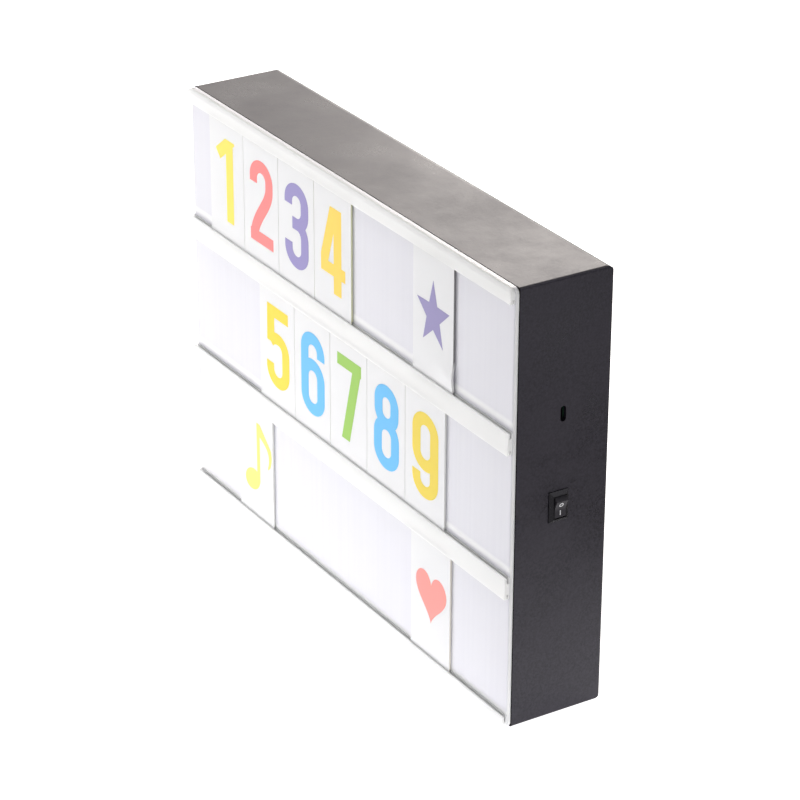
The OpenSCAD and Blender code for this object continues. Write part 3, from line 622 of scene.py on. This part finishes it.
# ---------------------------------------------------------------- the cards' film: between the lips it lies back on the panel
def card_film(node, name, mat, bowed=False):
    """The card's film; its back reaches the panel between the rails, and the star's bows out at its lower right."""
    lo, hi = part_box(node)
    r = 1.5 * MM
    cx, half = (lo.x + hi.x) / 2, (hi.x - lo.x) / 2
    nx = 28 if bowed else 1

    def bow(x, z):
        w = (z - lo.z) / (19.5 * MM)
        v = (x - (cx - 7 * MM)) / (hi.x - cx + 7 * MM)
        if not bowed or not 0 < w < 1 or v <= 0:
            return 0.0
        return 1.0 * MM * math.sin(math.pi * w) ** 2 * (3 * v * v - 2 * v ** 3)

    high = (hi.z - lo.z) / MM
    levels = [0.0, 0.1, 0.3, 0.6, 1.0, 1.5, 3.4, 3.45]
    levels = levels + ([3.45 + (high - 6.9) * j / 50 for j in range(1, 50)] if bowed else []) + [high - v for v in reversed(levels)]
    front, rear = [], []
    for level in levels:
        z = lo.z + level * MM
        e = min(level, high - level) * MM
        h = half - (r - math.sqrt(max(0.0, r * r - (r - e) ** 2)) if e < r else 0.0)
        thick = 0.62 * MM if 3.45 <= level <= high - 3.45 else 0.0
        for i in range(nx + 1):
            x = cx + h * (2 * i / nx - 1)
            b = bow(x, z)
            front.append((x, lo.y - b, z))
            rear.append((x, hi.y - b * 0.75 + thick, z))
    nz = len(levels) - 1
    n, w = len(front), nx + 1
    faces = []
    for j in range(nz):
        for i in range(nx):
            a = j * w + i
            faces.append((a, a + 1, a + w + 1, a + w))
            faces.append((n + a, n + a + w, n + a + w + 1, n + a + 1))
    ring = list(range(nx)) + [j * w + nx for j in range(nz)] + [nz * w + i for i in range(nx, 0, -1)] + [j * w for j in range(nz, 0, -1)]
    for k_, a in enumerate(ring):
        b = ring[(k_ + 1) % len(ring)]
        faces.append((b, a, n + a, n + b))
    o = mesh_object(name, front + rear, faces, mat, smooth=bowed)
    if bowed:
        o.data.set_sharp_from_angle(angle=math.radians(40))
    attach(o, node + "_body")
    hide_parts(node)
    return o


for card, figure, colour in FIGURES:
    card_film(card, f"film_{figure}", special.get(card, M["card_clear"]).mat, bowed=figure == "star")

# ---------------------------------------------------------------- the marks on the rocker, in its own leaning frame
pivot, lean = (146.6, 0.45, 110.0), math.radians(10)


def on_rocker(z0, sign):
    p0 = (3.7 + (abs(z0) - 1.495) * 0.2035, z0)
    t, n = (sign * 0.1994, 0.9799), (0.9799, -sign * 0.1994)

    def place(a, b, h):
        x, z = p0[0] + t[0] * b + n[0] * h, p0[1] + t[1] * b + n[1] * h
        return ((pivot[0] + x * math.cos(lean) + z * math.sin(lean)) * MM, (pivot[1] + a) * MM, (pivot[2] - x * math.sin(lean) + z * math.cos(lean)) * MM)
    return place


s = Shader("mark_white", Roughness=0.45)
wornm = s.noise(2600.0, 3.0, 0.6)
s.colour(s.mix(s.remap(wornm, 0.35, 0.65, 0.0, 1.0), (0.62, 0.62, 0.64), (0.74, 0.74, 0.76)))
s.bump(wornm, 0.1, 0.01 * MM)
ring_out, ring_in = arc(0, 0, 1.12, 1.2, 0, 360, 28)[:-1], arc(0, 0, 0.66, 0.72, 0, 360, 28)[:-1]
bar = [(-0.26, -1.15), (0.26, -1.15), (0.26, 1.15), (-0.26, 1.15)]
for name, loops, z0, sign in (("mark_off", [ring_out, ring_in[::-1]], 2.2, 1), ("mark_on", [bar], -2.1, -1)):
    p = plate(name, loops, on_rocker(z0, sign), 0.04, -0.02, s.mat)
    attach(p, "rocker")


# ---------------------------------------------------------------- stage, light, camera
floor_mesh = bpy.data.meshes.new("floor")
k = 8.0
floor_mesh.from_pydata([(-k, -k, 0), (k, -k, 0), (k, k, 0), (-k, k, 0)], [], [(0, 1, 2, 3)])
floor = bpy.data.objects.new("floor", floor_mesh)
scene.collection.objects.link(floor)
s = Shader("floor_white", Roughness=0.6)
s.colour(s.mix(s.remap(s.noise(3.0, 2.0), 0.3, 0.7, 0.0, 1.0), (0.80, 0.80, 0.80), (0.82, 0.82, 0.82)))
x, y, z = s.xyz()


def pool(cx, cy, rx, ry, amount):
    """A soft pool of light on the sweep."""
    d = s.math("ADD", s.math("POWER", s.math("ABSOLUTE", s.math("DIVIDE", s.math("SUBTRACT", x, cx), rx)), 2.0),
               s.math("POWER", s.math("ABSOLUTE", s.math("DIVIDE", s.math("SUBTRACT", y, cy), ry)), 2.0))
    return s.math("MULTIPLY", s.math("POWER", 2.718, s.math("MULTIPLY", d, -1.0)), amount)


behind = s.math("ADD", s.math("MULTIPLY", x, -0.85), s.math("MULTIPLY", y, 0.527))
across = s.math("ADD", s.math("MULTIPLY", x, 0.527), s.math("MULTIPLY", y, 0.85))
across = s.math("SUBTRACT", across, s.math("MULTIPLY", behind, 0.115))
glow = s.remap(behind, -0.24, -0.12, 0.30, 0.90)
glow = s.math("MULTIPLY", glow, s.remap(across, 0.212, 0.29, 1.0, 0.0))
glow = s.math("ADD", glow, pool(-0.16, -0.14, 0.28, 0.14, 0.28))
glow = s.math("ADD", glow, pool(0.07, -0.09, 0.16, 0.08, 0.16))
glow = s.math("ADD", glow, pool(0.165, 0.03, 0.07, 0.12, 0.16))
glow = s.math("ADD", glow, pool(0.55, 0.25, 0.13, 0.12, 1.00))
s.bsdf.inputs["Emission Color"].default_value = (1, 1, 1, 1)
s.link(glow, s.bsdf.inputs["Emission Strength"])
floor.data.materials.append(s.mat)
floor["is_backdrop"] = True

world = bpy.data.worlds.new("studio")
scene.world = world
world.use_nodes = True
wt = world.node_tree
coord, sep, ramp = (wt.nodes.new("ShaderNode" + n) for n in ("TexCoord", "SeparateXYZ", "MapRange"))
for i, v in enumerate((0.0, 0.6, 0.40, 0.06)):
    ramp.inputs[i + 1].default_value = v
wt.links.new(coord.outputs["Generated"], sep.inputs[0])
wt.links.new(sep.outputs[2], ramp.inputs[0])
wt.nodes["Background"].inputs[0].default_value = (1, 1, 1, 1)
wt.links.new(ramp.outputs[0], wt.nodes["Background"].inputs[1])


def softbox(name, at, aim, size, radiance, colour=(1, 1, 1)):
    light = bpy.data.lights.new(name, "AREA")
    light.shape = "RECTANGLE"
    light.size, light.size_y = size
    light.energy = radiance * math.pi * size[0] * size[1]
    light.color = colour
    o = bpy.data.objects.new(name, light)
    scene.collection.objects.link(o)
    o.location = at
    o.rotation_mode = "QUATERNION"
    o.rotation_quaternion = (Vector(aim) - Vector(at)).to_track_quat("-Z", "Y")
    o.visible_camera = False
    return o


softbox("backdrop_light", (-0.45, 0.62, 0.78), (-0.45, -0.4, 0.70), (0.9, 0.9), 3.4, (1.0, 0.940, 0.872))
softbox("backdrop_middle", (-0.82, 0.61, 0.78), (-0.82, -0.4, 0.70), (0.4, 0.9), 1.6, (1.0, 0.940, 0.872))
softbox("backdrop_left", (-1.30, 0.62, 0.78), (-1.30, -0.4, 0.70), (0.8, 0.9), 1.85, (1.0, 0.940, 0.872))
softbox("key_light", (-0.90, -0.70, 0.72), (-0.1, 0.0, 0.1), (1.3, 1.2), 1.75)
softbox("right_fill", (1.6, -0.1, 0.55), (0.1, 0.0, 0.1), (1.0, 0.8), 2.5)
softbox("rim_light", (0.80, 0.66, 1.05), (0.15, 0.0, 0.15), (0.5, 0.4), 2.4)
# a narrow lamp from above the front, which reaches down into the rails' channels
beam = bpy.data.lights.new("top_beam", "SPOT")
beam.energy, beam.spot_size, beam.spot_blend, beam.shadow_soft_size = 13.0, math.radians(36), 1.0, 0.16
top_beam = bpy.data.objects.new("top_beam", beam)
scene.collection.objects.link(top_beam)
top_beam.location = (-0.03, -0.32, 1.2)
top_beam.rotation_mode = "QUATERNION"
top_beam.rotation_quaternion = Vector((0.0, 0.29, -1.09)).to_track_quat("-Z", "Y")

AZ, EL, ROLL, DIST = map(float, (math.radians(58.2049), math.radians(25.9274), math.radians(0.1823), 1.52033))
target = Vector((0.0094826, 0.0022, 0.105009))
back = Vector((math.sin(AZ) * math.cos(EL), -math.cos(AZ) * math.cos(EL), math.sin(EL)))
right = Vector((math.cos(AZ), math.sin(AZ), 0.0))
up = back.cross(right)
r2 = right * math.cos(ROLL) + up * math.sin(ROLL)
u2 = up * math.cos(ROLL) - right * math.sin(ROLL)
cam_data = bpy.data.cameras.new("camera")
cam_data.sensor_fit = "HORIZONTAL"
cam_data.sensor_width = 36.0
cam_data.lens = 3125.06 / 800 * 36.0
cam_data.clip_start, cam_data.clip_end = 0.05, 50
cam = bpy.data.objects.new("camera", cam_data)
scene.collection.objects.link(cam)
at = target + back * DIST
cam.matrix_world = Matrix(((r2.x, u2.x, back.x, at.x), (r2.y, u2.y, back.y, at.y), (r2.z, u2.z, back.z, at.z), (0, 0, 0, 1)))
scene.camera = cam
scene.view_settings.view_transform = "Standard"
scene.view_settings.look = "None"
scene.view_settings.exposure = 0.0
scene.view_settings.gamma = 1.0

lo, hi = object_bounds()
